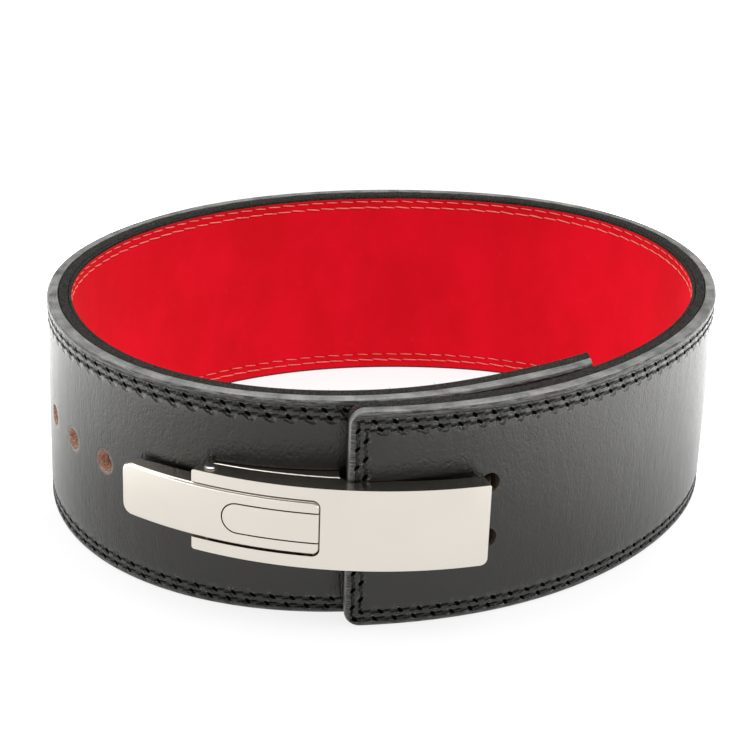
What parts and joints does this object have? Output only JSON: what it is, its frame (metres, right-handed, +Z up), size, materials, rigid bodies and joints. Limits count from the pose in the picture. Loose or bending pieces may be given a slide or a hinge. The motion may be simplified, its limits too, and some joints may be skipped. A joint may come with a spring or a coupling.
{
  "type": "weightlifting belt",
  "caption": "Wide stiff leather waist belt with a red suede lining, closed into a loop by a pressed steel lever buckle whose claws seat in the outer flap.",
  "frame": {"origin": "centre of the bounding box in plan, on the plane that the belt's lower edge rests on", "axes": "+Z up across the strap's height, +X along the loop's longer side, buckle towards -Y"},
  "size_m": [0.3148, 0.2992, 0.1],
  "materials": {
    "black_hide": "smooth finished hide, semi-gloss",
    "black_split": "rough napped split at the strap's edges",
    "red_suede": "short-napped suede",
    "satin_steel": "satin, finely blasted",
    "bright_steel": "plain bright pins and posts",
    "black_thread": "waxed twisted thread",
    "pink_thread": "twisted thread seen on the lining",
    "raw_leather": "undyed cut leather inside the holes"
  },
  "bodies": {
    "strap": {"outer_hide": "black_hide", "strap_core": "black_split", "lining": "red_suede", "base_plate": "satin_steel", "fulcrum_pin": "bright_steel", "post_screw_1": "bright_steel", "post_screw_2": "bright_steel"},
    "lever": {"lever": "satin_steel"},
    "cover": {"cover_plate": "satin_steel", "link_pin": "bright_steel"}
  },
  "joints": [
    {"name": "lever_open", "type": "hinge", "parent": "strap", "child": "lever", "pos_m": [-0.02905, -0.14268, 0.05], "axis": [0, 0, 1], "range_deg": [0, 155]},
    {"name": "cover_swing", "type": "hinge", "parent": "lever", "child": "cover", "pos_m": [-0.07069, -0.13299, 0.05], "axis": [0, 0, 1], "range_deg": [-155, 0]}
  ],
  "couplings": [
    {"joint": "cover_swing", "follows": "lever_open", "ratio": -1}
  ]
}
